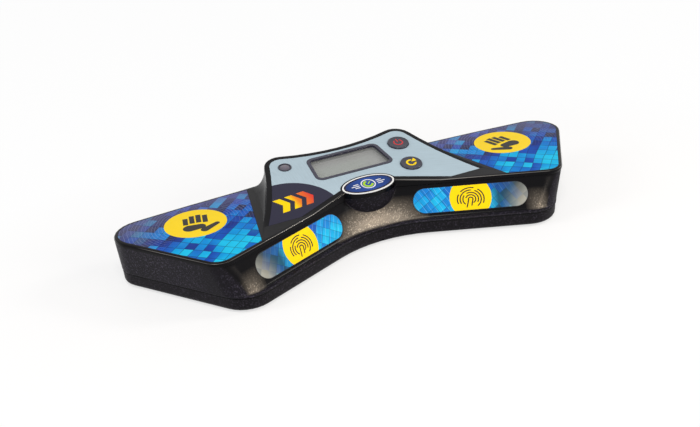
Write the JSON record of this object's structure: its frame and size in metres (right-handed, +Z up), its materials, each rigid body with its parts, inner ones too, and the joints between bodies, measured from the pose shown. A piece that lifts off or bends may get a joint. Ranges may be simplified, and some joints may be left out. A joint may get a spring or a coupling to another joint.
{
  "type": "speed cube timer",
  "caption": "Low V-fronted competition timer with two palm pads, two finger pads in a scooped front, and a tilted console with display, push buttons and status light.",
  "frame": {"origin": "middle of the footprint on the table the feet stand on", "axes": "+X along the length to the user's right, +Y to the back, +Z up"},
  "size_m": [0.2758, 0.0883, 0.0412],
  "materials": {
    "shell": "satin moulded black ABS, glossy on the rounded rim",
    "base": "fine textured black ABS",
    "panel": "printed polycarbonate overlay with a pale brushed silver-blue print",
    "bezel": "dark navy moulded trim",
    "window": "clear acrylic",
    "lcd": "grey-green reflective display glass",
    "white": "white reflector sheet",
    "zebra": "elastomer contact strip",
    "button": "dark gloss cap with a printed sign",
    "switch": "black switch housing",
    "lens": "smoky purple-grey lens",
    "led": "red diffused epoxy",
    "badge": "domed blue print with a white border",
    "overlay": "printed touch overlay: blue tiles and a yellow palm disc",
    "pad": "printed finger pad: blue tiles and a yellow disc",
    "copper": "copper sensor foil",
    "board": "green solder mask",
    "chip": "black epoxy package",
    "steel": "plated steel",
    "can": "sleeved capacitor can",
    "lead": "stranded lead in soft insulation",
    "cell": "plain sleeved cell",
    "foot": "soft black rubber"
  },
  "bodies": {
    "case": {"upper_shell": "shell", "base_shell": "base", "face_panel": "panel", "lcd_bezel": "bezel", "lcd_window": "window", "lcd_glass": "lcd", "lcd_reflector": "white", "zebra_strips": "zebra", "power_switch": "switch", "reset_switch": "switch", "status_lens": "lens", "status_led": "led", "oval_badge": "badge", "left_palm_overlay": "overlay", "right_palm_overlay": "overlay", "left_finger_pad": "pad", "right_finger_pad": "pad", "left_palm_sensor": "copper", "right_palm_sensor": "copper", "left_finger_sensor": "copper", "right_finger_sensor": "copper", "sensor_leads": "lead", "main_board": "board", "controller_chip": "chip", "crystal": "steel", "capacitors": "can", "data_jack": "switch", "jack_leads": "lead", "battery_cells": "cell", "battery_springs": "steel", "battery_contacts": "steel", "battery_leads": "lead", "rubber_feet": "foot", "case_screws": "steel", "board_screws": "steel"},
    "power_button": {"power_button": "button", "power_plunger": "switch"},
    "reset_button": {"reset_button": "button", "reset_plunger": "switch"},
    "battery_door": {"battery_door": "base"}
  },
  "joints": [
    {"name": "power_press", "type": "slide", "parent": "case", "child": "power_button", "axis": [0, 0.2147, -0.9767], "range_m": [0, 0.0005], "stiffness_N_per_m": 900},
    {"name": "reset_press", "type": "slide", "parent": "case", "child": "reset_button", "axis": [0, 0.2147, -0.9767], "range_m": [0, 0.0005], "stiffness_N_per_m": 900},
    {"name": "door_slide", "type": "slide", "parent": "case", "child": "battery_door", "axis": [0, 1, 0], "range_m": [0, 0.034]}
  ]
}
